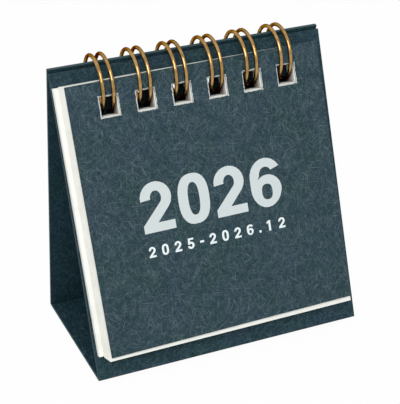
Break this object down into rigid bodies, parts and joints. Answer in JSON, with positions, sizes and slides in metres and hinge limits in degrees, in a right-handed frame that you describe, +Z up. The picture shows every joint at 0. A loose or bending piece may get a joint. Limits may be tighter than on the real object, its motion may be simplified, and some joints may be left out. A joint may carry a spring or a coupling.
{
  "type": "desk calendar",
  "caption": "Small desk calendar: folded dark card easel stand, brass twin-loop wire, fibre paper cover and white month leaves that turn about the wire.",
  "frame": {"origin": "middle of the footprint on the surface that the stand rests on", "axes": "+X to the right along the wire, +Y to the back, +Z up"},
  "size_m": [0.0648, 0.0416, 0.07],
  "materials": {
    "stand_card": "matte",
    "cover_paper": "matte",
    "leaf_paper": "matte",
    "wire": "polished"
  },
  "bodies": {
    "stand_front": {"front_panel": "stand_card", "binding_wire": "wire"},
    "base_front": {"base_front": "stand_card"},
    "base_rear": {"base_rear": "stand_card"},
    "back_panel": {"back_panel": "stand_card"},
    "front_cover": {"front_cover": "cover_paper"},
    "leaf_01": {"leaf_01": "leaf_paper"},
    "leaf_02": {"leaf_02": "leaf_paper"},
    "leaf_03": {"leaf_03": "leaf_paper"},
    "leaf_04": {"leaf_04": "leaf_paper"},
    "leaf_05": {"leaf_05": "leaf_paper"},
    "leaf_06": {"leaf_06": "leaf_paper"},
    "leaf_07": {"leaf_07": "leaf_paper"},
    "leaf_08": {"leaf_08": "leaf_paper"},
    "leaf_09": {"leaf_09": "leaf_paper"},
    "leaf_10": {"leaf_10": "leaf_paper"},
    "leaf_11": {"leaf_11": "leaf_paper"},
    "leaf_12": {"leaf_12": "leaf_paper"},
    "leaf_13": {"leaf_13": "leaf_paper"},
    "leaf_14": {"leaf_14": "leaf_paper"}
  },
  "joints": [
    {"name": "stand_fold", "type": "hinge", "parent": "stand_front", "child": "base_front", "pos_m": [0, -0.01799, 0.00038], "axis": [1, 0, 0], "range_deg": [0, 32]},
    {"name": "centre_crease", "type": "hinge", "parent": "base_front", "child": "base_rear", "pos_m": [0, 0.00079, 0.00038], "axis": [1, 0, 0], "range_deg": [-70.4, 0]},
    {"name": "rear_crease", "type": "hinge", "parent": "base_rear", "child": "back_panel", "pos_m": [0, 0.02041, 0.00038], "axis": [1, 0, 0], "range_deg": [0, 32]},
    {"name": "leaf_turn", "type": "hinge", "parent": "stand_front", "child": "leaf_01", "pos_m": [0, 0.00068, 0.06311], "axis": [-1, 0, 0], "range_deg": [0, 32]},
    {"name": "leaf_02_turn", "type": "hinge", "parent": "stand_front", "child": "leaf_02", "pos_m": [0, 0.00068, 0.06311], "axis": [-1, 0, 0], "range_deg": [0, 29.72]},
    {"name": "leaf_03_turn", "type": "hinge", "parent": "stand_front", "child": "leaf_03", "pos_m": [0, 0.00068, 0.06311], "axis": [-1, 0, 0], "range_deg": [0, 27.43]},
    {"name": "leaf_04_turn", "type": "hinge", "parent": "stand_front", "child": "leaf_04", "pos_m": [0, 0.00068, 0.06311], "axis": [-1, 0, 0], "range_deg": [0, 25.15]},
    {"name": "leaf_05_turn", "type": "hinge", "parent": "stand_front", "child": "leaf_05", "pos_m": [0, 0.00068, 0.06311], "axis": [-1, 0, 0], "range_deg": [0, 22.86]},
    {"name": "leaf_06_turn", "type": "hinge", "parent": "stand_front", "child": "leaf_06", "pos_m": [0, 0.00068, 0.06311], "axis": [-1, 0, 0], "range_deg": [0, 20.58]},
    {"name": "leaf_07_turn", "type": "hinge", "parent": "stand_front", "child": "leaf_07", "pos_m": [0, 0.00068, 0.06311], "axis": [-1, 0, 0], "range_deg": [0, 18.29]},
    {"name": "leaf_08_turn", "type": "hinge", "parent": "stand_front", "child": "leaf_08", "pos_m": [0, 0.00068, 0.06311], "axis": [-1, 0, 0], "range_deg": [0, 16]},
    {"name": "leaf_09_turn", "type": "hinge", "parent": "stand_front", "child": "leaf_09", "pos_m": [0, 0.00068, 0.06311], "axis": [-1, 0, 0], "range_deg": [0, 13.72]},
    {"name": "leaf_10_turn", "type": "hinge", "parent": "stand_front", "child": "leaf_10", "pos_m": [0, 0.00068, 0.06311], "axis": [-1, 0, 0], "range_deg": [0, 11.43]},
    {"name": "leaf_11_turn", "type": "hinge", "parent": "stand_front", "child": "leaf_11", "pos_m": [0, 0.00068, 0.06311], "axis": [-1, 0, 0], "range_deg": [0, 9.15]},
    {"name": "leaf_12_turn", "type": "hinge", "parent": "stand_front", "child": "leaf_12", "pos_m": [0, 0.00068, 0.06311], "axis": [-1, 0, 0], "range_deg": [0, 6.86]},
    {"name": "leaf_13_turn", "type": "hinge", "parent": "stand_front", "child": "leaf_13", "pos_m": [0, 0.00068, 0.06311], "axis": [-1, 0, 0], "range_deg": [0, 4.58]},
    {"name": "leaf_14_turn", "type": "hinge", "parent": "stand_front", "child": "leaf_14", "pos_m": [0, 0.00068, 0.06311], "axis": [-1, 0, 0], "range_deg": [0, 2.29]},
    {"name": "cover_turn", "type": "hinge", "parent": "leaf_01", "child": "front_cover", "pos_m": [0, 0.00068, 0.06311], "axis": [-1, 0, 0], "range_deg": [0, 156]}
  ],
  "couplings": [
    {"joint": "centre_crease", "follows": "stand_fold", "ratio": -2.2},
    {"joint": "rear_crease", "follows": "stand_fold", "ratio": 1},
    {"joint": "leaf_02_turn", "follows": "leaf_turn", "ratio": 0.92857},
    {"joint": "leaf_03_turn", "follows": "leaf_turn", "ratio": 0.85714},
    {"joint": "leaf_04_turn", "follows": "leaf_turn", "ratio": 0.78571},
    {"joint": "leaf_05_turn", "follows": "leaf_turn", "ratio": 0.71429},
    {"joint": "leaf_06_turn", "follows": "leaf_turn", "ratio": 0.64286},
    {"joint": "leaf_07_turn", "follows": "leaf_turn", "ratio": 0.57143},
    {"joint": "leaf_08_turn", "follows": "leaf_turn", "ratio": 0.5},
    {"joint": "leaf_09_turn", "follows": "leaf_turn", "ratio": 0.42857},
    {"joint": "leaf_10_turn", "follows": "leaf_turn", "ratio": 0.35714},
    {"joint": "leaf_11_turn", "follows": "leaf_turn", "ratio": 0.28571},
    {"joint": "leaf_12_turn", "follows": "leaf_turn", "ratio": 0.21429},
    {"joint": "leaf_13_turn", "follows": "leaf_turn", "ratio": 0.14286},
    {"joint": "leaf_14_turn", "follows": "leaf_turn", "ratio": 0.071429}
  ]
}
